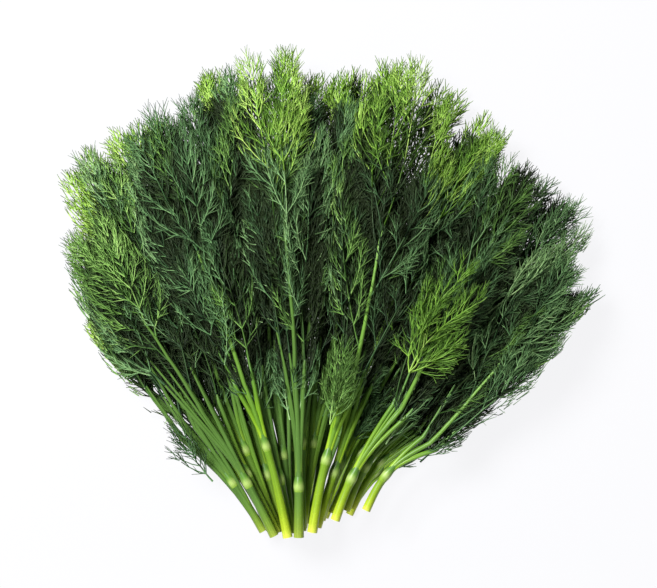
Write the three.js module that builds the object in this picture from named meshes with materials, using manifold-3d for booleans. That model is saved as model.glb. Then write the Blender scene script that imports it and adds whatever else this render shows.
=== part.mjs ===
// A bunch of fresh dill lying flat: cut stems that fan out from a loose neck, each carrying a feathery frond.
// The shoots lie in layers, like hands of cards. Within a layer they part along angles from one centre.
// The frame is millimetres, +Z up, +Y from the cut ends to the frond tips, and the bunch rests on z = 0.
// The origin is under the middle of the bunch, on the surface that it rests on.
import * as THREE from "three";
import { mergeVertices } from "three/addons/utils/BufferGeometryUtils.js";
import Module from "manifold-3d";

// Driving dimensions, in millimetres and degrees.
const reach = 312; // from the fan centre to the longest frond tip
const fanSpread = 1; // widens or narrows every shoot's angle
const clearance = 0.7; // between neighbouring solids
const stemThickness = 0.88; // thickens or thins every stem at its cut end
const frondPitch = 10.4; // height of one layer in the thick of the fronds
const tipPitch = 5.6; // height of one layer at the longest tips
const thickestAt = 193; // distance from the fan centre where the layers are highest
const sideDroop = 0.3; // share of its height that a layer loses at the sides of the fan
const fanHalfAngle = 46; // the angle at which that droop is complete
const outerHalfAngle = 6.5; // half-width of an outermost shoot, where it has no neighbour
const frondFill = 0.97; // share of its own sector that a frond takes at its widest
const frondGap = 0.4; // between the end of a stem and its frond
const stemTopRadius = 1.6; // radius of a stem where its frond begins
const nodeSwelling = 1.2; // how much a stem swells at its leaf node
const nodeHalfLength = 5; // from the middle of that swelling to its end
const stalkRadius = 1.3; // of the two side stalks that part from a stem at its leaf node
const stalkSpread = 5.5; // from the stem to a side stalk, where the frond begins
const lobeDepth = 0.2; // how deep the outline of a frond dips between its leaflets
const lobeLength = 34; // from one leaflet to the next along a frond
const frondStalk = 2.3; // half-width of a frond at its stalk
const frondTipWidth = 6; // half-width of a frond at its blunt tip

const stemSides = 8;
const stalkSides = 6;
const frondSides = 8;
const frondRings = 14;

// Each layer, from the bottom up, has its own centre and sway, and holds its shoots from left to right:
// [angle, cut end, leaf node, frond start, tip as a share of the reach, radius at the cut end].
// The cut end, leaf node and frond start are distances from the layer's centre.
const layers = [
  { centreX: 0.5, sway: 1.6, wave: 170, shoots: [
    [-35.7, 33, 72, 106, 0.61, 2.7],
    [-21.3, 30, 66, 118, 0.90, 3.1],
    [-6.9, 28, 78, 124, 0.96, 3.2],
    [8.3, 31, 68, 122, 0.95, 3.0],
    [24.3, 38, 80, 118, 0.92, 3.1],
    [40.3, 48, 78, 108, 0.81, 2.7],
  ] },
  { centreX: -0.9, sway: -1.8, wave: 190, shoots: [
    [-29.1, 32, 84, 116, 0.86, 2.9],
    [-14.7, 28, 64, 122, 0.93, 3.3],
    [-0.3, 30, 76, 126, 0.96, 3.1],
    [15.7, 33, 70, 124, 0.96, 3.2],
    [31.7, 44, 84, 118, 0.93, 2.9],
  ] },
  { centreX: -0.7, sway: -1.4, wave: 150, shoots: [
    [-35.1, 34, 68, 110, 0.69, 2.8],
    [-20.7, 29, 84, 122, 0.91, 3.2],
    [-6.3, 28, 72, 128, 0.98, 3.3],
    [9, 30, 80, 126, 0.98, 3.1],
    [25, 38, 72, 122, 0.92, 3.2],
    [41, 54, 86, 114, 0.79, 2.8],
  ] },
  { centreX: 1.8, sway: -1.2, wave: 210, shoots: [
    [-26.1, 31, 72, 118, 0.90, 3.0],
    [-11.7, 28, 60, 126, 0.95, 3.3],
    [3, 29, 82, 128, 0.93, 3.2],
    [19, 33, 68, 124, 0.94, 3.3],
    [35, 50, 78, 118, 0.90, 3.0],
  ] },
  { centreX: 2.2, sway: 1.0, wave: 180, shoots: [
    [-31, 31, 66, 116, 0.78, 3.1],
    [-16.6, 27, 82, 124, 0.93, 3.3],
    [-2.2, 26, 58, 128, 1.00, 3.4],
    [13.6, 30, 74, 126, 0.98, 3.4],
    [29.6, 42, 68, 120, 0.92, 3.2],
    [42.5, 58, 82, 114, 0.79, 2.9],
  ] },
];
const topLayer = { centreX: 0, sway: 0, wave: reach, shoots: [] };

// Height of one layer at the cut ends, where it takes the thickest stem.
const thickestStem = stemThickness * Math.max(...layers.flatMap(({ shoots }) => shoots.map((row) => row[5])));
const neckPitch = 2 * thickestStem + clearance;

// Small leaves that stand apart from the shoots: layer, angle, start, tip distance, widest half-width.
const looseLeaves = [
  { name: "side_sprig", layer: 3, angle: -41, start: 78, tip: 110, halfWidth: 8 },
  { name: "folded_leaf", layer: 5, angle: 28, start: 142, tip: 198, halfWidth: 23 },
  { name: "young_leaf", layer: 5, angle: 12, start: 96, tip: 134, halfWidth: 9 },
];

const wasm = await Module();
wasm.setup();

const { degToRad, radToDeg, lerp, smoothstep, clamp, mapLinear } = THREE.MathUtils;

// Height of one layer at a point of the plane: low at the neck, the tips and the sides of the fan.
function pitchAt(x, y) {
  const distance = Math.hypot(x, y);
  const rising = smoothstep(distance, 60, thickestAt);
  const falling = smoothstep(distance, thickestAt, reach);
  const along = lerp(neckPitch, frondPitch, rising) - (frondPitch - tipPitch) * falling;
  const outwards = clamp(Math.abs(radToDeg(Math.atan2(x, y))) / (fanHalfAngle * fanSpread), 0, 1);
  return along * (1 - sideDroop * rising * outwards ** 2);
}

// A point of a layer, at a distance and an angle from its centre and an offset to the right of that line.
function pointOf(layer, distance, angle, offset) {
  const { centreX, sway, wave } = layers[layer] ?? topLayer;
  const turned = degToRad(angle + sway * Math.sin(distance / wave * Math.PI)) + offset / distance;
  return { x: centreX + distance * Math.sin(turned), y: distance * Math.cos(turned) };
}

// A closed solid along one line of a layer. Each station gives, at a distance, the offset of the middle, the
// half-width to the left and to the right, how far it is lifted off the floor of the layer and how high it
// is. Its underside is level across, or follows the slope of the layer if it drapes.
function fanSolid(layer, angle, stations, sides, drapes) {
  const geometry = new THREE.CylinderGeometry(1, 1, 1, sides, stations.length - 1, false, Math.PI / sides);
  const flatEdge = Math.cos(Math.PI / sides); // from the middle of the section to its flat faces
  const position = geometry.getAttribute("position");
  for (let i = 0; i < position.count; i++) {
    const station = stations[Math.round((position.getY(i) + 0.5) * (stations.length - 1))];
    const { distance, offset, left, right, lift, height } = station;
    const across = position.getX(i) / flatEdge;
    const upwards = position.getZ(i) / flatEdge;
    const middle = pointOf(layer, distance, angle, offset);
    const point = pointOf(layer, distance, angle, offset + across * (across < 0 ? left : right));
    const middlePitch = pitchAt(middle.x, middle.y);
    const pitch = drapes ? pitchAt(point.x, point.y) : middlePitch;
    const fitted = height * (pitch - clearance) / (middlePitch - clearance);
    position.setXYZ(i, point.x, point.y, layer * pitch + clearance / 2 + lift + fitted * (1 + upwards) / 2);
  }
  return geometry;
}

// Joins closed geometries that overlap into one.
function joined(geometries) {
  const solids = geometries.map((geometry) => {
    const bare = geometry.clone();
    bare.deleteAttribute("normal");
    bare.deleteAttribute("uv");
    const merged = mergeVertices(bare, 1e-3);
    return new wasm.Manifold(new wasm.Mesh({
      numProp: 3,
      vertProperties: new Float32Array(merged.getAttribute("position").array),
      triVerts: new Uint32Array(merged.index.array),
    }));
  });
  const mesh = solids.reduce((whole, solid) => whole.add(solid)).getMesh();
  const geometry = new THREE.BufferGeometry();
  geometry.setAttribute("position", new THREE.BufferAttribute(mesh.vertProperties, 3));
  geometry.setIndex(new THREE.BufferAttribute(mesh.triVerts, 1));
  geometry.computeVertexNormals();
  return geometry;
}

// The largest half-width that keeps a shoot out of the sector of a neighbour at an angle away.
function sectorHalfWidth(distance, angleToNeighbour) {
  return distance * degToRad(angleToNeighbour) / 2 - clearance / 2;
}

function roundStation(distance, offset, radius, lift) {
  return { distance, offset, left: radius, right: radius, lift, height: 2 * radius };
}

// A cut stem: a tapering round stalk that swells at its leaf node, where two thin side stalks part from it.
// All three stop short of the frond.
function stemGeometry(layer, shoot) {
  const end = shoot.frond - frondGap;
  const nodeStart = shoot.node - nodeHalfLength;
  const nodeEnd = shoot.node + nodeHalfLength;
  const distances = [shoot.cut, (shoot.cut + nodeStart) / 2, nodeStart, shoot.node, nodeEnd,
    (nodeEnd + end) / 2, end];
  const radiusAt = (distance) => mapLinear(distance, shoot.cut, end, shoot.radius, stemTopRadius);
  const stem = fanSolid(layer, shoot.angle, distances.map((distance) => (
    roundStation(distance, 0, radiusAt(distance) * (distance === shoot.node ? nodeSwelling : 1), 0)
  )), stemSides, false);
  const stalks = [-1, 1].map((side) => fanSolid(layer, shoot.angle, [0, 1 / 3, 2 / 3, 1].map((u) => {
    const distance = lerp(shoot.node, end, u);
    return roundStation(distance, side * stalkSpread * u, stalkRadius, radiusAt(distance) - stalkRadius);
  }), stalkSides, false));
  return joined([stem, ...stalks]);
}

// How a frond widens from its stalk and narrows to its tip, from 0 to 1, as u goes from 0 to 1.
function frondShape(u) {
  return Math.sin(Math.PI * Math.min(1, u ** 0.7)) ** 0.6;
}

// A feathery frond as a plain pad with a lobed outline, inside its own sector of the layer.
function frondGeometry(layer, { angle, start, tip, leftLimit, rightLimit }) {
  const lobes = Math.max(1, Math.round((tip - start) / lobeLength));
  const stations = [];
  for (let i = 0; i <= frondRings; i++) {
    const u = i / frondRings;
    const distance = lerp(start, tip, u);
    const lobed = 1 - lobeDepth * Math.sin(Math.PI * lobes * u) ** 2;
    const edge = lerp(frondStalk, frondTipWidth, u);
    const widened = (limit) => edge + (limit(distance) * frondFill - edge) * frondShape(u) * lobed;
    const middle = pointOf(layer, distance, angle, 0);
    const roof = pitchAt(middle.x, middle.y) - clearance;
    const slim = Math.min(roof, 2 * edge);
    const height = slim + (roof - slim) * frondShape(u);
    stations.push({
      distance, offset: 0, left: widened(leftLimit), right: widened(rightLimit), lift: 0, height,
    });
  }
  return fanSolid(layer, angle, stations, frondSides, true);
}

// One material for each kind of piece. Fronds differ a little in their green from layer to layer.
const stemMaterial = new THREE.MeshStandardMaterial({ color: "#6f9a35", roughness: 0.45, metalness: 0 });
const frondMaterials = ["#2c4a22", "#33552a", "#3a5f2c", "#41692f", "#4a7432", "#79a83a"].map(
  (color) => new THREE.MeshStandardMaterial({ color, roughness: 0.6, metalness: 0 }));

const fan = new THREE.Group();

function addMesh(name, geometry, material) {
  const mesh = new THREE.Mesh(geometry, material);
  mesh.name = name;
  fan.add(mesh);
}

// A layer's row of shoots with its values named, and with each shoot's angle spread.
function shootsOf(layer) {
  return layers[layer].shoots.map(([angle, cut, node, frond, tipShare, radius]) => (
    { angle: angle * fanSpread, cut, node, frond, tip: tipShare * reach, radius: radius * stemThickness }));
}

let count = 0;
layers.forEach((_, layer) => {
  const shoots = shootsOf(layer);
  shoots.forEach((shoot, i) => {
    count += 1;
    const number = String(count).padStart(2, "0");
    const toLeft = i > 0 ? shoot.angle - shoots[i - 1].angle : 2 * outerHalfAngle;
    const toRight = i < shoots.length - 1 ? shoots[i + 1].angle - shoot.angle : 2 * outerHalfAngle;
    addMesh(`stem_${number}`, stemGeometry(layer, shoot), stemMaterial);
    addMesh(`frond_${number}`, frondGeometry(layer, {
      angle: shoot.angle,
      start: shoot.frond,
      tip: shoot.tip,
      leftLimit: (distance) => sectorHalfWidth(distance, toLeft),
      rightLimit: (distance) => sectorHalfWidth(distance, toRight),
    }), frondMaterials[layer]);
  });
});

for (const { name, layer, angle, start, tip, halfWidth } of looseLeaves) {
  addMesh(name, frondGeometry(layer, {
    angle: angle * fanSpread,
    start,
    tip,
    leftLimit: () => halfWidth,
    rightLimit: () => halfWidth,
  }), frondMaterials[layer]);
}

// The fan is set down with the origin under the middle of the bunch.
const bounds = new THREE.Box3().setFromObject(fan, true);
const middle = bounds.getCenter(new THREE.Vector3());
fan.position.set(-middle.x, -middle.y, -bounds.min.z);

const bunch = new THREE.Group();
bunch.add(fan);

export default bunch;
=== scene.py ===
# A bunch of fresh dill lying on a pale surface, seen from straight above.
# Each shoot is a fluted stem with its leaf stalks, and plumes of fine forked threads that grow from them.
import math
import random
import bmesh
import bpy
import numpy as np
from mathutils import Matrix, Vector


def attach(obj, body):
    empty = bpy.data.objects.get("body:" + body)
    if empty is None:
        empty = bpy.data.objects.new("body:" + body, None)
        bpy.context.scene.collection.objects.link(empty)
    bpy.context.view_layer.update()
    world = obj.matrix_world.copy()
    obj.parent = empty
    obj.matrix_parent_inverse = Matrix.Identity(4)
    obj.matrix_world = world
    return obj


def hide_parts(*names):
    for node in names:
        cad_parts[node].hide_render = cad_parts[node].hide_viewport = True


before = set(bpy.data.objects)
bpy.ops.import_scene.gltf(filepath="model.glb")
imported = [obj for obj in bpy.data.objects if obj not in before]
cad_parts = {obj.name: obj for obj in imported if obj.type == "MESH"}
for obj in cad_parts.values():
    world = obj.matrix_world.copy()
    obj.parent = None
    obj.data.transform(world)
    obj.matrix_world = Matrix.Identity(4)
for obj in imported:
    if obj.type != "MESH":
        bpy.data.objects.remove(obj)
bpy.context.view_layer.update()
mm = 0.001  # lengths below are in millimetres until a piece is made
up = Vector((0, 0, 1))


def linear(hexColour):  # an sRGB hex value as linear red, green, blue and alpha
    channels = [int(hexColour[i:i + 2], 16) / 255 for i in (1, 3, 5)]
    return [c / 12.92 if c <= 0.04045 else ((c + 0.055) / 1.055) ** 2.4 for c in channels] + [1.0]


def mix(a, b, share):
    return a + (b - a) * share


def smooth(value, low, high):
    share = min(1, max(0, (value - low) / (high - low)))
    return share * share * (3 - 2 * share)


def addNode(tree, kind, settings, inputs):  # inputs take a value or another node's output
    node = tree.nodes.new(kind)
    for name, value in settings.items():
        if name == "stops":
            while len(node.color_ramp.elements) < len(value):
                node.color_ramp.elements.new(1)
            for element, (position, colour) in zip(node.color_ramp.elements, value):
                element.position = position
                element.color = linear(colour)
        else:
            setattr(node, name, value)
    for name, value in inputs.items():
        if isinstance(value, bpy.types.NodeSocket):
            tree.links.new(value, node.inputs[name])
        else:
            node.inputs[name].default_value = value
    return node


def newMaterial(name):
    material = bpy.data.materials.new(name)
    material.use_nodes = True
    material.node_tree.nodes.clear()
    return material


# What the frame says about each shoot.

def readNode(name, neck, slices=25):
    # A long solid, read by slicing it across: where its middle runs, its half-width, its underside and top.
    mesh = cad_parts[name].data
    points = np.array([v.co for v in mesh.vertices]) / mm
    edges = np.array([e.vertices for e in mesh.edges])
    flat = points[:, :2]
    centre = flat.mean(axis=0)
    along = np.linalg.svd(flat - centre, full_matrices=False)[2][0]
    if (centre - neck) @ along < 0:
        along = -along
    across = np.array([along[1], -along[0]])
    lowest, highest = ((flat - centre) @ along).min(), ((flat - centre) @ along).max()
    start = centre + along * lowest
    shape = {"start": start, "along": along, "across": across, "length": highest - lowest,
             "heading": math.degrees(math.atan2(along[0], along[1]))}
    rows = []
    for share in np.linspace(0.012, 0.988, slices):
        side = (flat - start) @ along - share * shape["length"]
        a, b = side[edges[:, 0]], side[edges[:, 1]]
        cut = (a < 0) != (b < 0)
        t = (a[cut] / (a[cut] - b[cut]))[:, None]
        hits = points[edges[cut, 0]] * (1 - t) + points[edges[cut, 1]] * t
        sideways = (hits[:, :2] - start) @ across
        rows.append([share * shape["length"], (sideways.min() + sideways.max()) / 2,
                     (sideways.max() - sideways.min()) / 2, hits[:, 2].min(), hits[:, 2].max()])
    shape["rows"] = np.array(rows)
    return shape


def sample(shape, distance):  # shift of the middle, half-width, underside and top at a distance along
    rows = shape["rows"]
    return [float(np.interp(distance, rows[:, 0], rows[:, i])) for i in range(1, 5)]


def place(shape, distance, sideways=0, height=0.5):
    shift, _, bottom, top = sample(shape, distance)
    flat = shape["start"] + shape["along"] * distance + shape["across"] * (shift + sideways)
    return Vector((flat[0], flat[1], mix(bottom, top, height)))


stemNames = sorted(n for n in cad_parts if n.startswith("stem_"))
frondNames = sorted(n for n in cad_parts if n.startswith("frond_"))
lowestPoints = [min((v.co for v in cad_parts[n].data.vertices), key=lambda co: co.y) for n in stemNames]
neck = np.array([np.median([p.x for p in lowestPoints]), np.median([p.y for p in lowestPoints])]) / mm
stems = {n: readNode(n, neck) for n in stemNames}
fronds = {n: readNode(n, neck) for n in frondNames}
print("read", len(stems), "stems and", len(fronds), "fronds; neck at", neck.round(1))

# How deep a point lies in the bunch, which sets how much painted shade it gets, and how near the outer edge.

cell = 6
topOf, reachOf = {}, {}


def cellAt(point):
    return round(point.x / cell), round(point.y / cell)


def polar(point):  # distance from the neck, and which sector of the fan it is in
    dx, dy = point.x - neck[0], point.y - neck[1] + 40
    return math.hypot(dx, dy), round(math.degrees(math.atan2(dx, dy)) / 4)


for shape in fronds.values():
    for distance in np.arange(0, shape["length"] + 1, 3):
        halfWidth = sample(shape, distance)[1]
        for sideways in np.arange(-halfWidth, halfWidth + 0.1, 3):
            point = place(shape, distance, sideways, 1)
            topOf[cellAt(point)] = max(topOf.get(cellAt(point), 0), point.z)
            away, sector = polar(point)
            reachOf[sector] = max(reachOf.get(sector, 0), away)


def depthOf(point):
    return max(0, topOf.get(cellAt(point), point.z) - point.z)


def edgeShare(point):  # 0 well inside the bunch, 1 at its outermost tips
    away, sector = polar(point)
    around = [reachOf[k] for k in (sector - 1, sector, sector + 1) if k in reachOf]
    return smooth(away / max(around), 0.76, 0.98) if around else 1


# Curves that become meshes.

def sectionCurve(name, sides, ridges=0, depth=0.0):  # the closed outline that a stalk or thread is drawn with
    curve = bpy.data.curves.new(name, "CURVE")
    curve.dimensions = "2D"
    spline = curve.splines.new("POLY")
    spline.points.add(sides - 1)
    for i in range(sides):
        angle = 2 * math.pi * i / sides
        radius = 1 + depth * math.cos(ridges * angle)
        spline.points[i].co = (radius * math.cos(angle), radius * math.sin(angle), 0, 1)
    spline.use_cyclic_u = True
    piece = bpy.data.objects.new(name, curve)
    bpy.context.collection.objects.link(piece)
    return piece


# Rim, wall and pith of a cut end: width as a share of the radius, and depth.
cutSteps = ((0.2, 0), (0.1, -0.5), (0.25, -0.2))


def openCut(work, cut):
    # The cut end of a stem: a pale rim, and inside it the pith, which has shrunk back a little.
    caps = [f for f in work.faces if len(f.verts) != 4 and (f.calc_center_median() - cut).length < 4 * mm]
    end = bmesh.ops.dissolve_faces(work, faces=caps)["region"][0]
    for edge in end.edges:
        edge.smooth = False
    middle = end.calc_center_median()
    radius = (end.verts[0].co - middle).length
    for share, depth in cutSteps:
        made = bmesh.ops.inset_region(work, faces=[end], thickness=radius * share, depth=depth * mm)
        for face in made["faces"] + [end]:
            face.material_index = 1 if depth else 0
    # The pith has the last strip of the map to itself.
    uv = work.loops.layers.uv.active
    for corner in (c for face in work.faces if face.material_index == 1 for c in face.loops):
        offset = (corner.vert.co - middle) / radius
        corner[uv].uv = (0.9955 + 0.0035 * offset.x, 0.5 + 0.45 * offset.z)


def makePiece(name, lines, section, material, tones, node, cut=None):
    # Lines are lists of points and radii, each with a tone from 0 to 1.
    curve = bpy.data.curves.new(name, "CURVE")
    curve.dimensions = "3D"
    curve.bevel_mode = "OBJECT"
    curve.bevel_object = section
    curve.use_fill_caps = True
    for _ in range(tones):
        curve.materials.append(material)
    for points, radii, tone in lines:
        spline = curve.splines.new("POLY")
        spline.points.add(len(points) - 1)
        flat = []
        for p, r in zip(points, radii):
            flat += (p.x * mm, p.y * mm, max(p.z, r) * mm, 1)
        spline.points.foreach_set("co", flat)
        spline.points.foreach_set("radius", [r * mm for r in radii])
        spline.material_index = min(tones - 1, max(0, int(tone * tones)))
    source = bpy.data.objects.new(name + "_lines", curve)
    bpy.context.collection.objects.link(source)
    view = bpy.context.evaluated_depsgraph_get()
    mesh = bpy.data.meshes.new_from_object(source.evaluated_get(view))
    bpy.data.objects.remove(source)
    paintTones(mesh, tones)
    mesh.materials.clear()
    mesh.materials.append(material)
    work = bmesh.new()
    work.from_mesh(mesh)
    bmesh.ops.remove_doubles(work, verts=work.verts, dist=2e-6)
    for face in work.faces:
        face.material_index = 0
        face.smooth = True
    if cut is not None:
        mesh.materials.append(pith)
        openCut(work, cut * mm)
    work.to_mesh(mesh)
    work.free()
    mesh.name = name
    piece = bpy.data.objects.new(name, mesh)
    bpy.context.collection.objects.link(piece)
    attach(piece, "root")
    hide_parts(node)
    return piece


def paintTones(mesh, tones):
    # The map runs from base to tip in U. Its V is the tone, in bands, and runs round the line within a band.
    drawn = np.empty(len(mesh.loops) * 2, dtype=np.float32)
    mesh.uv_layers[0].data.foreach_get("uv", drawn)
    along, around = drawn.reshape(-1, 2).T  # on the caps the first of these runs round them
    band = np.empty(len(mesh.polygons), dtype=np.int32)
    mesh.polygons.foreach_get("material_index", band)
    corners = np.empty(len(mesh.polygons), dtype=np.int32)
    mesh.polygons.foreach_get("loop_total", corners)
    isCap = np.repeat(corners != 4, corners)
    # Caps take a narrow strip at the start of the map, and sides the rest.
    u = np.where(isCap, 0.002 + 0.004 * (2 * along - 1) ** 2, 0.01 + 0.98 * along)
    v = (np.repeat(band, corners) + 0.08 + 0.84 * np.where(isCap, along, around)) / tones
    mesh.uv_layers[0].data.foreach_set("uv", np.stack([u, v], axis=1).astype(np.float32).ravel())
    mesh.uv_layers[0].name = "OFBake"


# Plumes of dill threads.

leafFinish = {  # dill leaf: a matt skin with a dull bloom, blue-green when grown and yellow-green when young
    # The near-black ends of these ramps are painted shade, which settle gives to leaves deep in the bunch.
    "grown": [(0.0, "#040a05"), (0.2, "#112213"), (0.4, "#294729"), (0.6, "#4a6f44"), (0.8, "#719460"),
              (1.0, "#98b67c")],
    "fresh": [(0.0, "#060d04"), (0.2, "#172a0e"), (0.4, "#365924"), (0.6, "#587f36"), (0.8, "#7da354"),
              (1.0, "#a4c272")],
    "young": [(0.0, "#0e1a06"), (0.25, "#2c4a0d"), (0.5, "#558026"), (0.75, "#86ae42"), (1.0, "#b4d070")],
    "tip": "#8caa70",  # threads pale towards their tips
    "tipShare": 0.2,
    "roughness": 0.5,
    "lightDepth": 2.3,  # leaves deeper in the bunch than this get darker, with painted shade
    "darkDepth": 7.0,  # and this much deeper they are darkest
    "shade": 0.68,
    "youngFrom": 0.42,  # nearness to the edge from which bright fronds are young
    "youngLighter": 0.07,
    "specular": 0.12,
}
kinds = ("grown", "fresh", "young")  # a tone from 0 to 1 is one of grown leaves, from 1 to 2 of fresh ones

thread = {
    "radius": 0.36,  # of a leaf thread at its base
    "tipRadius": 0.13,
    "length": (8.0, 14.0),  # of the threads at the tip and at the foot of a side branch
    "forkAngle": (13, 28),  # between a thread and the one it forks from
    "clusterAngle": (18, 36),  # between a side branch and the threads that part from it
    "standOut": 0.2,  # how far threads stand out of the plane of their leaf
    "curl": 0.3,  # how far a thread turns forward along its length
    "sway": (0.1, 0.08),  # and how far it strays sideways and up or down
    "taper": 0.35,  # share of its taper that a thread has at its middle
    "forkFrom": (0.12, 0.68),  # shares of a thread between which others fork off
    "forkLength": (0.8, 0.42),  # length of one that forks off near the foot, and near the tip
    "forkThinner": 0.85,
    "toneSpread": 0.09,
    "forkToneSpread": 0.12,
}
plume = {
    "firstNode": 0.16,  # share of its length at which a leaf first branches
    "nodeStep": 0.77,  # what is left of the leaf beyond each pair of branches, as a share of what was
    "sideShare": 0.42,  # length of a side branch as a share of what is left
    "branchSpacing": 6.8,  # between pairs of threads on a side branch
    "baseAngle": 42,  # side branches part by this at the foot of a plume
    "tipAngle": 33,
    "spineRadius": 0.75,
    "branchRadius": 0.48,
    "thinning": 0.45,  # share of its threads that a side branch loses at the outer edge of the bunch
    "branchCurl": 0.32,
    "branchLighter": 0.14,  # branches are lighter than their threads, and spines lighter still
    "spineLighter": 0.3,
    "pairsFrom": (0.14, 0.95),  # shares of a side branch between which its threads stand
    "fullBranch": 18,  # side branches shorter than this carry shorter threads
    "lastNode": 7,  # from the last pair of branches to the tip, at least
    "reachBeyond": 8,  # every side branch is longer by this
    "nodeCluster": (9, 14),  # length of the threads at a pair of branches
    "endSwings": (-42, -14, 14, 42),  # angles of the small branches at the tip
    "endLength": (7, 11),
    "trim": (0.5, 1.8),  # threads that reach this far past their layer, in hems and by chance, are left out
}
leafTones = 30  # a third of them for each kind
dice = random.Random(11)


def jitter(amount):
    return dice.uniform(-amount, amount)


def turned(direction, sideways, angle):  # a direction swung by an angle towards another one
    angle = math.radians(angle)
    return (direction * math.cos(angle) + sideways * math.sin(angle)).normalized()


def onLine(line, share):  # the point at a share of a line, and its direction there
    k = min(len(line) - 2, int(share * (len(line) - 1)))
    return line[k].lerp(line[k + 1], share * (len(line) - 1) - k), (line[k + 1] - line[k]).normalized()


def kindOf(tone):
    return min(2, max(0, math.floor(tone)))


def lighter(tone, amount):
    return kindOf(tone) + min(0.99, tone - kindOf(tone) + amount)


def growCluster(lines, base, forward, direction, sideways, length, tone, forks):
    # One thread that curves forward, with the threads that fork off it, alternately to each side.
    aside, rise = thread["sway"]
    bend = (forward - direction) * thread["curl"] + sideways * jitter(aside) + up * jitter(rise)
    line = [base + direction * (length * t) + bend * (length * t * t) for t in (0, 0.5, 1)]
    radius, tip = thread["radius"], thread["tipRadius"]
    lines.append((line, [radius, mix(radius, tip, thread["taper"]), tip],
                  tone + jitter(thread["toneSpread"])))
    swap = dice.choice((-1, 1))
    for k in range(forks):
        share = mix(*thread["forkFrom"], (k + dice.random() * 0.6) / forks)
        root, heading = onLine(line, share)
        swap = -swap
        out = turned(heading, sideways * swap + up * jitter(0.5), dice.uniform(*thread["forkAngle"]))
        size = length * mix(*thread["forkLength"], share) * dice.uniform(0.8, 1.2)
        lines.append(([root, root + out * size], [radius * thread["forkThinner"], tip],
                      tone + jitter(thread["forkToneSpread"])))


def growPinna(lines, base, forward, direction, sideways, length, radius, tone, fullness):
    # A side branch that curves forward, with pairs of thread clusters and a forked end.
    bend = (forward - direction) * plume["branchCurl"] + up * jitter(0.1)
    shares = (0, 0.33, 0.67, 1)
    line = [base + direction * (length * t) + bend * (length * t * t) for t in shares]
    radii = [mix(radius, thread["radius"] * 0.9, t) for t in shares]
    lines.append((line, radii, lighter(tone, plume["branchLighter"])))
    pairs = max(1, round(length * fullness / plume["branchSpacing"]))
    for k in range(pairs):
        share = mix(*plume["pairsFrom"], (k + 0.5 + jitter(0.25)) / pairs)
        root, heading = onLine(line, share)
        for side in (-1, 1):
            aside = (sideways * side + up * jitter(0.5)).normalized()
            out = turned(heading, aside, dice.uniform(*thread["clusterAngle"]))
            out = (out + up * jitter(thread["standOut"])).normalized()
            size = mix(thread["length"][1], thread["length"][0], share) * dice.uniform(0.75, 1.2)
            growCluster(lines, root, heading, out, sideways,
                        size * mix(0.65, 1, min(1, length / plume["fullBranch"])),
                        tone + jitter(0.04), dice.choice((2, 3)) if share < 0.5 else 2)
    end = onLine(line, 1)[1]
    growCluster(lines, line[3], end, end, sideways, thread["length"][0] * dice.uniform(1, 1.4), tone, 3)


def growPlume(lines, base, heading, length, spread, tone, bend, roll, rise=0.0, fullness=1.0):
    # A leaf: a spine whose nodes come ever closer, each with two side branches and a few threads, in a
    # plane that is rolled about the spine.
    heading, roll = math.radians(heading), math.radians(roll)
    forward = Vector((math.sin(heading), math.cos(heading), 0))
    flatSide = Vector((math.cos(heading), -math.sin(heading), 0))
    sideways = flatSide * math.cos(roll) + up * math.sin(roll)
    shares = [i / 8 for i in range(9)]
    spine = [base + forward * (length * t) + flatSide * (bend * length * t * t)
             + up * (rise * length * math.sin(math.pi * t) * 0.5) for t in shares]
    radii = [mix(plume["spineRadius"], thread["radius"], t ** 0.6) for t in shares]
    lines.append((spine[:5], radii[:5], lighter(tone, plume["spineLighter"])))
    lines.append((spine[4:], radii[4:], lighter(tone, plume["branchLighter"])))
    left = 1 - plume["firstNode"] * dice.uniform(0.7, 1.3)
    while left * length > plume["lastNode"]:
        share = 1 - left
        root, along = onLine(spine, share)
        reach = min(spread, left * length * plume["sideShare"]) + plume["reachBeyond"]
        for side in (-1, 1):
            aside = (sideways * side + up * jitter(0.4)).normalized()
            angle = mix(plume["baseAngle"], plume["tipAngle"], share ** 0.7) + jitter(8)
            direction = turned(along, aside, angle)
            radius = mix(plume["branchRadius"], thread["radius"], share)
            growPinna(lines, root, along, direction, turned(aside, along, -angle),
                      reach * dice.uniform(0.75, 1.15), radius, tone + jitter(0.03),
                      fullness * (1 - plume["thinning"] * edgeShare(root + direction * reach)))
            growCluster(lines, root, along, turned(along, aside, dice.uniform(8, 55)), sideways,
                        dice.uniform(*plume["nodeCluster"]), tone + jitter(0.05), 2)
        left *= plume["nodeStep"] * dice.uniform(0.93, 1.07)
    for swing in plume["endSwings"]:
        growPinna(lines, spine[-1], along, turned(along, sideways, swing + jitter(9)), sideways,
                  dice.uniform(*plume["endLength"]), thread["radius"], tone, fullness)


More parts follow.
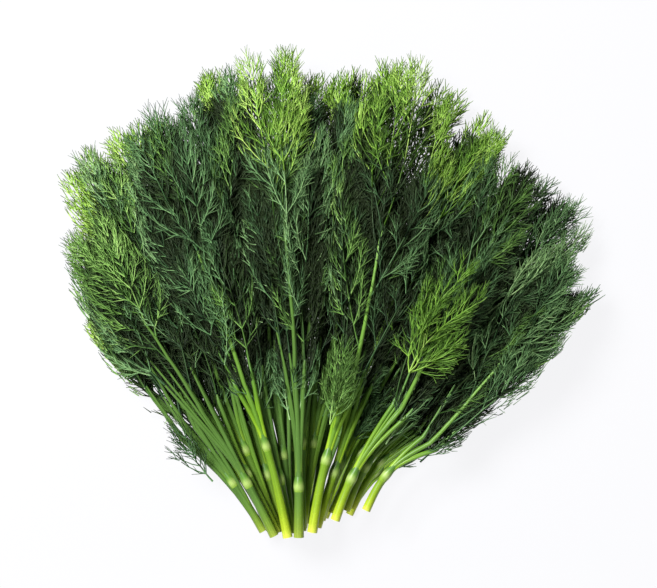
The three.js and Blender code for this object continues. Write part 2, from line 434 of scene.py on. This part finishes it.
def settle(lines, shape, puff, glow, hem):
    # Leans every line on its layer, from whose middle its heights were measured so far, and turns in what
    # reaches past the layer's sides or leaves it out. Then lines deep in the bunch get painted shade, darker
    # the deeper they lie, and some tips are made young.
    start, along, across, rows = shape["start"], shape["along"], shape["across"], shape["rows"]
    middle = (rows[:, 3] + rows[:, 4]) / 2
    half = (rows[:, 4] - rows[:, 3]) / 2 + puff
    widest = 0.8 * shape["length"]  # beyond this the layer narrows, but its threads don't
    settled = []
    for points, radii, tone in lines:
        overshoot = 0
        for p in points:
            dx, dy = p.x - start[0], p.y - start[1]
            distance = dx * along[0] + dy * along[1]
            shift, halfWidth = sample(shape, min(distance, widest))[:2]
            sideways = dx * across[0] + dy * across[1] - shift
            over = abs(sideways) - halfWidth + 0.5 * hem
            overshoot = max(overshoot, over)
            if over > 0:
                back = math.copysign(over - 1.5 * hem * math.tanh(over / hem / 1.5), sideways)
                p.x -= back * across[0]
                p.y -= back * across[1]
            room = float(np.interp(distance, rows[:, 0], half))
            p.z = float(np.interp(distance, rows[:, 0], middle)) + room * math.tanh(p.z / room)
        if overshoot > hem * dice.uniform(*plume["trim"]):
            continue
        end = points[-1]
        kind = kindOf(tone)
        if glow * edgeShare(end) + jitter(0.2) > leafFinish["youngFrom"]:
            kind, tone = 2, lighter(tone, leafFinish["youngLighter"])
        # Painted shade: the deeper the tip of a line lies under the top of the bunch, the darker its colour.
        shade = min(1, max(0, depthOf(end) + puff - leafFinish["lightDepth"]) / leafFinish["darkDepth"])
        tone = min(0.98, max(0.0, tone - kindOf(tone) - leafFinish["shade"] * shade + jitter(0.03)))
        settled.append((points, radii, (tone + kind) / 3))
    return settled


# Finishes.

stemFinish = {  # dill stem: smooth waxy skin with fine ribs, pale and yellow where it was cut, bluer above
    "stops": [(0.0, "#e8ea98"), (0.012, "#ccd64e"), (0.05, "#a6ba2c"), (0.13, "#82a022"), (0.27, "#6c8e24"),
              (0.5, "#5a8226"), (1.0, "#6a9440")],
    "stalkStops": [(0.0, "#bccc5e"), (0.08, "#94b42c"), (0.3, "#729a22"), (0.7, "#5b8529"), (1.0, "#4c7434")],
    "bluish": "#4e7030",  # some stems carry more of the blue bloom
    "collar": "#c0d084",  # the swollen joint where leaf stalks part
    "roughness": 0.36,
    "specular": 0.3,
}
stemTones = 8


def leafMaterial():
    material = newMaterial("dill_leaf_with_dull_bloom")
    tree = material.node_tree
    uv = addNode(tree, "ShaderNodeUVMap", {"uv_map": "OFBake"}, {})
    parts = addNode(tree, "ShaderNodeSeparateXYZ", {}, {"Vector": uv.outputs["UV"]})
    stops = [((k + mix(0.002, 0.998, share)) / len(kinds), colour)
             for k, kind in enumerate(kinds) for share, colour in leafFinish[kind]]
    tone = addNode(tree, "ShaderNodeValToRGB", {"stops": stops}, {"Fac": parts.outputs["Y"]})
    tip = addNode(tree, "ShaderNodeMath", {"operation": "MULTIPLY"},
                  {0: parts.outputs["X"], 1: leafFinish["tipShare"]})
    shade = addNode(tree, "ShaderNodeMix", {"data_type": "RGBA", "blend_type": "MIX"},
                    {"Factor": tip.outputs[0], "A": tone.outputs["Color"], "B": linear(leafFinish["tip"])})
    skin = addNode(tree, "ShaderNodeBsdfPrincipled", {},
                   {"Base Color": shade.outputs["Result"], "Roughness": leafFinish["roughness"],
                    "Specular IOR Level": leafFinish["specular"]})
    addNode(tree, "ShaderNodeOutputMaterial", {}, {"Surface": skin.outputs["BSDF"]})
    return material


def stemMaterial():
    # Bands of the map, from 0: three greens of stem, three of stalk, and two of the collar.
    material = newMaterial("dill_stem_waxy_ribbed_skin")
    tree = material.node_tree
    uv = addNode(tree, "ShaderNodeUVMap", {"uv_map": "OFBake"}, {})
    parts = addNode(tree, "ShaderNodeSeparateXYZ", {}, {"Vector": uv.outputs["UV"]})
    band = addNode(tree, "ShaderNodeMath", {"operation": "MULTIPLY"}, {0: parts.outputs["Y"], 1: stemTones})
    whole = addNode(tree, "ShaderNodeMath", {"operation": "FLOOR"}, {0: band.outputs[0]})
    around = addNode(tree, "ShaderNodeMath", {"operation": "FRACT"}, {0: band.outputs[0]})
    stem = addNode(tree, "ShaderNodeValToRGB", {"stops": stemFinish["stops"]}, {"Fac": parts.outputs["X"]})
    stalk = addNode(tree, "ShaderNodeValToRGB", {"stops": stemFinish["stalkStops"]},
                    {"Fac": parts.outputs["X"]})
    isStalk = addNode(tree, "ShaderNodeMath", {"operation": "GREATER_THAN"}, {0: whole.outputs[0], 1: 2.5})
    isCollar = addNode(tree, "ShaderNodeMath", {"operation": "GREATER_THAN"}, {0: whole.outputs[0], 1: 5.5})
    third = addNode(tree, "ShaderNodeMath", {"operation": "MODULO"}, {0: whole.outputs[0], 1: 3.0})
    bloom = addNode(tree, "ShaderNodeMath", {"operation": "MULTIPLY"}, {0: third.outputs[0], 1: 0.3})
    green = addNode(tree, "ShaderNodeMix", {"data_type": "RGBA"},
                    {"Factor": isStalk.outputs[0], "A": stem.outputs["Color"], "B": stalk.outputs["Color"]})
    upward = addNode(tree, "ShaderNodeMath", {"operation": "MULTIPLY", "use_clamp": True},
                     {0: bloom.outputs[0], 1: parts.outputs["X"]})
    upper = addNode(tree, "ShaderNodeMath", {"operation": "MULTIPLY_ADD", "use_clamp": True},
                    {0: upward.outputs[0], 1: 2.6, 2: bloom.outputs[0]})
    bluer = addNode(tree, "ShaderNodeMix", {"data_type": "RGBA"},
                    {"Factor": upper.outputs[0], "A": green.outputs["Result"],
                     "B": linear(stemFinish["bluish"])})
    ends = addNode(tree, "ShaderNodeMath", {"operation": "PINGPONG"}, {0: parts.outputs["X"], 1: 0.5})
    fade = addNode(tree, "ShaderNodeMapRange", {"interpolation_type": "SMOOTHSTEP"},
                   {"Value": ends.outputs[0], "From Min": 0.18, "From Max": 0.5, "To Max": 0.45})
    pale = addNode(tree, "ShaderNodeMath", {"operation": "MULTIPLY"},
                   {0: isCollar.outputs[0], 1: fade.outputs[0]})
    collared = addNode(tree, "ShaderNodeMix", {"data_type": "RGBA"},
                       {"Factor": pale.outputs[0], "A": bluer.outputs["Result"],
                        "B": linear(stemFinish["collar"])})
    # Fine ribs about a millimetre apart, drawn as streaks that run up the skin.
    run = addNode(tree, "ShaderNodeCombineXYZ", {}, {"X": around.outputs[0], "Y": parts.outputs["X"],
                                                     "Z": whole.outputs[0]})
    streak = addNode(tree, "ShaderNodeMapping", {}, {"Vector": run.outputs[0], "Scale": (18, 2.5, 1)})
    ribs = addNode(tree, "ShaderNodeTexNoise", {}, {"Vector": streak.outputs[0], "Scale": 1.0, "Detail": 3.0})
    ribLight = addNode(tree, "ShaderNodeMapRange", {},
                       {"Value": ribs.outputs["Fac"], "From Min": 0.3, "From Max": 0.7, "To Min": 0.78,
                        "To Max": 1.18})
    speckRun = addNode(tree, "ShaderNodeMapping", {}, {"Vector": run.outputs[0], "Scale": (12, 130, 1)})
    specks = addNode(tree, "ShaderNodeTexVoronoi", {}, {"Vector": speckRun.outputs[0], "Scale": 1.0})
    speckLight = addNode(tree, "ShaderNodeMapRange", {},
                         {"Value": specks.outputs["Distance"], "From Min": 0.12, "From Max": 0.3,
                          "To Min": 1.3, "To Max": 1.0})
    lights = addNode(tree, "ShaderNodeMath", {"operation": "MULTIPLY"},
                     {0: ribLight.outputs[0], 1: speckLight.outputs[0]})
    coat = addNode(tree, "ShaderNodeVectorMath", {"operation": "SCALE"},
                   {0: collared.outputs["Result"], "Scale": lights.outputs[0]})
    bump = addNode(tree, "ShaderNodeBump", {}, {"Height": ribs.outputs["Fac"], "Strength": 0.3,
                                                "Distance": 0.0003})
    skin = addNode(tree, "ShaderNodeBsdfPrincipled", {},
                   {"Base Color": coat.outputs[0], "Roughness": stemFinish["roughness"],
                    "Specular IOR Level": stemFinish["specular"], "Normal": bump.outputs["Normal"]})
    addNode(tree, "ShaderNodeOutputMaterial", {}, {"Surface": skin.outputs["BSDF"]})
    return material


def pithMaterial():  # dill pith: soft, dry and full of small pores
    material = newMaterial("dill_pith_cut")
    tree = material.node_tree
    coordinates = addNode(tree, "ShaderNodeTexCoord", {}, {})
    pores = addNode(tree, "ShaderNodeTexVoronoi", {},
                    {"Vector": coordinates.outputs["Object"], "Scale": 2500.0})
    tone = addNode(tree, "ShaderNodeValToRGB", {"stops": [(0.0, "#a9b478"), (0.45, "#e4e8bc")]},
                   {"Fac": pores.outputs["Distance"]})
    dent = addNode(tree, "ShaderNodeBump", {}, {"Height": pores.outputs["Distance"], "Strength": 0.5,
                                                "Distance": 0.0002})
    skin = addNode(tree, "ShaderNodeBsdfPrincipled", {},
                   {"Base Color": tone.outputs["Color"], "Roughness": 0.8, "Normal": dent.outputs["Normal"]})
    addNode(tree, "ShaderNodeOutputMaterial", {}, {"Surface": skin.outputs["BSDF"]})
    return material


leafSkin = leafMaterial()
pith = pithMaterial()
stemSkin = stemMaterial()
threadSection = sectionCurve("thread_section", 3)
stalkSection = sectionCurve("stalk_section", 20, 10, 0.04)

# Shoots.

shoot = {
    "hues": (0.06, 0.06, 0.19, 0.31),  # the greens that a stem can take, from yellow to blue
    "tone": 0.745,  # of the leaves, from 0 for dark to 1 for light
    "axisReach": 0.5,  # share of the frond that the stem runs on into
    "nodes": (0.1, 0.27, 0.41),  # where leaves part from it
    "endLeaves": (-1.5, 0, 1.5),  # and how far the last ones swing out
    "collarAt": (-7, -4, -1.6, 0.4, 2.4, 5, 8),  # along the stem, from its node
    "collarRadii": (0.76, 0.9, 1.04, 1.09, 1.05, 0.9, 0.66),  # as shares of the node's own
    "collarTone": 0.8,
    "stalkRadius": 1.3,
    "stalkRadii": (1.9, 1.2, 0.6),  # of a drawn stalk: at its foot, along it and at its tip
    "stalkTone": 0.375,  # stalks have the greens three bands above the stems'
    "runOn": (2, 10),  # how far a side stalk runs on into its frond
    "extraStalks": 3,  # thinner stalks from the same node, besides the two at its sides
    "extraSwing": (0.2, 1.15),  # how far they swing out, as a share of what the side stalks do
    "extraStart": 16,  # they part within this of the node
    "extraThinner": 0.64,
    "extraRunOn": (2, 42),
    "sideShoots": 2,  # more of them in the low layers, where all part far below the node
    "sideStart": (4, 0.6),  # from this distance to this share of the node's
    "sideSlant": (2, 7.5),  # and at this angle to the stem
    "leafLength": 88,
    "leafShare": ((0.78, 0.95), (0.9, 1.04)),  # of that length, in plain fronds and in those with young tips
    "leafSpread": 26,
    "leafSwing": 10,  # degrees
    "freshChance": (0.45, 0.22),  # of a yellower green leaf, at the far left and from the middle on
    "lowLeaves": 3,
    "moreLowLeaves": 2,  # in the low layers
    "lowLength": (34, 52),
    "lowSpread": 15,
    "lowLayer": 18,  # up to this height a shoot is in the two lowest layers, which fill the gaps above
    "lowCoarser": 1.35,
    "leftmost": -30,  # shoots further to the left than this carry no leaves near their stalks' feet
    "bareLength": 26,
    "bow": 2.2,  # how far a stem may bow to one side
    "curve": 4.0,  # and how far the outer stems curve outwards
    "puff": 2.6,  # how far the threads may stand out of their layer
    "hem": 9,  # how softly they end at its sides
    "lowHem": 14,
}
# Fronds with young tips.
brightTips = ("01", "02", "03", "04", "07", "09", "10", "13", "15", "21", "25", "26")


def growShoot(number):
    stemName, frondName = f"stem_{number}", f"frond_{number}"
    stem, frond = stems[stemName], fronds[frondName]
    rows = stem["rows"]
    heights = (rows[:, 4] - rows[:, 3]) / 2
    trend = np.linspace(heights[0], heights[-1], len(heights))
    nodeAt = rows[int(np.argmax((heights - trend)[3:-6])) + 3, 0]
    hue = dice.choice(shoot["hues"])
    # Fronds that point to the right are a little darker: painted shade on the side of the bunch away from the
    # light.
    tone = shoot["tone"] + jitter(0.08) - 0.03 * smooth(frond["heading"], 12, 45)
    isLow = rows[:, 3].mean() < shoot["lowLayer"]
    isBright = number in brightTips
    isLeftmost = frond["heading"] < shoot["leftmost"]
    bow = jitter(shoot["bow"]) - shoot["curve"] * stem["heading"] / 40
    stalks, leaves, low, starts = [], [], [], []

    # The stem runs on into its frond as the axis.
    axis, radii = [], []
    for i in range(21):
        distance = stem["length"] * i / 20
        _, _, bottom, top = sample(stem, distance)
        swell = math.exp(-((distance - nodeAt) / 3.2) ** 2)
        thin = 1 - 0.2 * smooth(distance, nodeAt, nodeAt + 8)
        axis.append(place(stem, distance, bow * math.sin(math.pi * distance / stem["length"])))
        radii.append((top - bottom) / 2 * thin * (1 + 0.06 * swell))
    axisEnd = frond["length"] * shoot["axisReach"]
    for i in range(1, 9):
        axis.append(place(frond, axisEnd * i / 8))
        radii.append(mix(radii[20], 0.7, i / 8))
    stalks.append((axis, radii, hue))

    # A pale collar swells where leaf stalks part.
    collar = [place(stem, nodeAt + d, bow * math.sin(math.pi * (nodeAt + d) / stem["length"]))
              for d in shoot["collarAt"]]
    fat = (sample(stem, nodeAt)[3] - sample(stem, nodeAt)[2]) / 2
    stalks.append((collar, [fat * r for r in shoot["collarRadii"]], shoot["collarTone"]))

    # Stalks part from the stem at its node, two at the sides and thinner ones between and behind.
    footRadius, alongRadius, tipRadius = shoot["stalkRadii"]
    for k in range(2 + shoot["extraStalks"] + (shoot["sideShoots"] if isLow else 0)):
        side = (-1, 1)[k % 2]
        extra = k > 1
        line, widths = [], []
        swing = side * (dice.uniform(*shoot["extraSwing"]) if extra else 1)
        leave = nodeAt + (dice.uniform(0, shoot["extraStart"]) if extra else 0)
        sideShoot = extra and isLow  # it parts far below the node, and fills the gap beside its stem
        if sideShoot:
            nearest, share = shoot["sideStart"]
            leave = dice.uniform(nearest, share * nodeAt)
            slant = side * math.tan(math.radians(dice.uniform(*shoot["sideSlant"])))
        lift = jitter(1.6) if extra else 0
        for i in range(10):
            t = i / 9
            distance = mix(leave, stem["length"], t)
            halfWidth = sample(stem, distance)[1]
            spread = max(0, halfWidth - shoot["stalkRadius"]) * swing
            if sideShoot:
                spread = slant * (distance - leave)
            elif extra:
                spread *= t ** 0.6
            else:
                spread = side * max(0.8 * min(1, t * 4), abs(spread) * t ** 0.25)
            point = place(stem, distance, spread + bow * math.sin(math.pi * distance / stem["length"]))
            point.z += lift * t
            line.append(point)
            thinner = shoot["extraThinner"] if extra and not sideShoot else 1
            widths.append(mix(footRadius, alongRadius, min(1, t * 3)) * thinner)
        heading = frond["heading"] + swing * 8
        forward = Vector((math.sin(math.radians(heading)), math.cos(math.radians(heading)), 0))
        ahead = dice.uniform(*shoot["extraRunOn" if extra else "runOn"])
        if isLeftmost:
            ahead = shoot["bareLength"] + ahead / 2
        for t in (0.5, 1):
            line.append(line[9] + forward * (ahead * t))
            widths.append(mix(widths[9], tipRadius, t))
        stalks.append((line, widths, hue + shoot["stalkTone"]))
        starts.append((line[-1], ahead / frond["length"], swing))

    # Leaves: one from each stalk, one from each node of the axis, and three that end it.
    side = dice.choice((-1, 1))
    for share in shoot["nodes"]:
        side = -side
        starts.append((place(frond, frond["length"] * share), share, side * dice.uniform(1.2, 2.2)))
    for side in shoot["endLeaves"]:
        starts.append((place(frond, axisEnd), shoot["axisReach"], side + jitter(0.2)))
    for base, share, side in starts:
        room = frond["length"] * (1 - share)
        length = min(shoot["leafLength"], room * 0.97) * dice.uniform(*shoot["leafShare"][isBright])
        _, _, bottom, top = sample(frond, frond["length"] * share)
        base = Vector((base.x, base.y, base.z - (bottom + top) / 2))
        fresh = 1 if dice.random() < mix(*shoot["freshChance"], smooth(frond["heading"], -30, 0)) else 0
        growPlume(leaves, base, frond["heading"] + side * shoot["leafSwing"] + jitter(8), length,
                  min(shoot["leafSpread"], 0.4 * length + 4), tone + jitter(0.09) + fresh,
                  bend=-0.05 * side + jitter(0.14), roll=jitter(30), rise=jitter(0.14))

    # Small leaves low on the stalks, which fill the bunch down to its neck.
    lowLeaves = shoot["lowLeaves"] + (shoot["moreLowLeaves"] if isLow else 0)
    for _ in range(0 if isLeftmost else lowLeaves):
        distance = mix(nodeAt, stem["length"], dice.uniform(0.05 if isLow else 0.5, 0.95))
        base = place(stem, distance, jitter(5))
        base.z -= (sample(stem, distance)[2] + sample(stem, distance)[3]) / 2 + dice.uniform(0, 2)
        # These low leaves are a little darker than the shoot's others: painted shade low in the bunch.
        growPlume(low, base, stem["heading"] + jitter(22), dice.uniform(*shoot["lowLength"]),
                  shoot["lowSpread"], tone - 0.08 + jitter(0.05), bend=jitter(0.15), roll=jitter(30),
                  fullness=0.9)
    leaves = settle(leaves, frond, shoot["puff"], 1 if isBright else 0.2, shoot["hem"])
    leaves += settle(low, stem, 2.5, 0, shoot["lowHem"])
    if isLow:
        leaves = [(line, [r * shoot["lowCoarser"] for r in widths], shade) for line, widths, shade in leaves]
    makePiece(f"dill_stem_{number}", stalks, stalkSection, stemSkin, stemTones, stemName,
              cut=axis[0])
    makePiece(f"dill_frond_{number}", leaves, threadSection, leafSkin, leafTones, frondName)
    return len(leaves)


counts = [growShoot(name[-2:]) for name in frondNames]
triangles = [sum(len(p.vertices) - 2 for p in o.data.polygons) for o in bpy.data.objects if o.type == "MESH"]
print("shoots made:", sum(counts), "threads,", sum(triangles), "triangles, at most", max(triangles), "in one")

# The three loose leaves.

# Slot, tone, the swing from its pad's heading, bend and share of length of each plume, and fullness.
looseLeaves = {
    "side_sprig": ("frond", 0.4, [(0, 0.2, 0.95)], 0.45),
    "folded_leaf": ("young_frond", 2.5,
                    [(-42, 0.9, 0.8), (24, -1.2, 0.75), (-10, 0.5, 0.9), (48, -0.3, 0.5)], 0.5),
    "young_leaf": ("young_frond", 1.6, [(-8, 0.1, 0.95), (14, -0.1, 0.7)], 0.8),
}
for name, (slot, tone, plumes, fullness) in looseLeaves.items():
    shape = readNode(name, neck)
    leaf = []
    for swing, bend, share in plumes:
        base = place(shape, 1)
        base.z = jitter(2)
        growPlume(leaf, base, shape["heading"] + swing, shape["length"] * share,
                  min(20, shape["length"] * 0.4), tone, bend=bend, roll=jitter(20), fullness=fullness)
    leaf = settle(leaf, shape, 1.5, 0, hem=8)
    makePiece(f"dill_{name}", leaf, threadSection, leafSkin, leafTones, name)
for section in (threadSection, stalkSection):
    bpy.data.objects.remove(section)
print("loose leaves made")

# Floor, lights and camera.

studio = {
    "frameWidth": 394,
    "lens": 85,
    "aim": (-0.0009, 0.0042, 0.035),  # what the camera is over, in metres, and the height at which the frame is frameWidth wide
    "lamps": (("softbox", (-0.75, 0.65, 1.2), 0.6, 54), ("fill", (0.4, -1.2, 0.6), 1.0, 8)),
    "floorSize": 3,
    "paper": "#3c3c3e",
    "glow": "#fcfcfe",
    "floorGlow": 0.905,
    "world": 0.05,  # light from the walls, which are as pale as the paper
    "wall": 1.0,
}

floorMesh = bpy.data.meshes.new("floor")
work = bmesh.new()
bmesh.ops.create_grid(work, x_segments=1, y_segments=1, size=studio["floorSize"])
work.to_mesh(floorMesh)
work.free()
floor = bpy.data.objects.new("floor", floorMesh)
bpy.context.collection.objects.link(floor)
paper = newMaterial("matt_white_paper")
skin = addNode(paper.node_tree, "ShaderNodeBsdfPrincipled", {},
               {"Base Color": linear(studio["paper"]), "Roughness": 0.9,
                "Emission Color": linear(studio["glow"]), "Emission Strength": studio["floorGlow"]})
addNode(paper.node_tree, "ShaderNodeOutputMaterial", {}, {"Surface": skin.outputs["BSDF"]})
floor.data.materials.append(paper)
floor.visible_diffuse = False  # the glow keeps the paper white, and doesn't light the leaves from below

for name, spot, size, power in studio["lamps"]:
    light = bpy.data.lights.new(name, "AREA")
    light.size = size
    light.energy = power
    lamp = bpy.data.objects.new(name, light)
    lamp.location = spot
    lamp.rotation_euler = (-Vector(spot)).to_track_quat("-Z", "Y").to_euler()
    bpy.context.collection.objects.link(lamp)

world = bpy.data.worlds.new("white_studio")
world.use_nodes = True
world.node_tree.nodes.clear()
seen = addNode(world.node_tree, "ShaderNodeLightPath", {}, {}).outputs["Is Camera Ray"]
strength = addNode(world.node_tree, "ShaderNodeMapRange", {},
                   {"Value": seen, "To Min": studio["world"], "To Max": studio["wall"]})
walls = addNode(world.node_tree, "ShaderNodeBackground", {},
                {"Color": linear(studio["glow"]), "Strength": strength.outputs[0]})
addNode(world.node_tree, "ShaderNodeOutputWorld", {}, {"Surface": walls.outputs[0]})
bpy.context.scene.world = world
bpy.context.scene.view_settings.view_transform = "Standard"

camera = bpy.data.cameras.new("camera")
camera.lens = studio["lens"]
camera.clip_end = 20
eye = bpy.data.objects.new("camera", camera)
distance = studio["frameWidth"] * mm / 36 * studio["lens"]  # its sensor is 36 mm wide
eye.location = Vector(studio["aim"]) + Vector((0, 0, distance))
bpy.context.collection.objects.link(eye)
bpy.context.scene.camera = eye
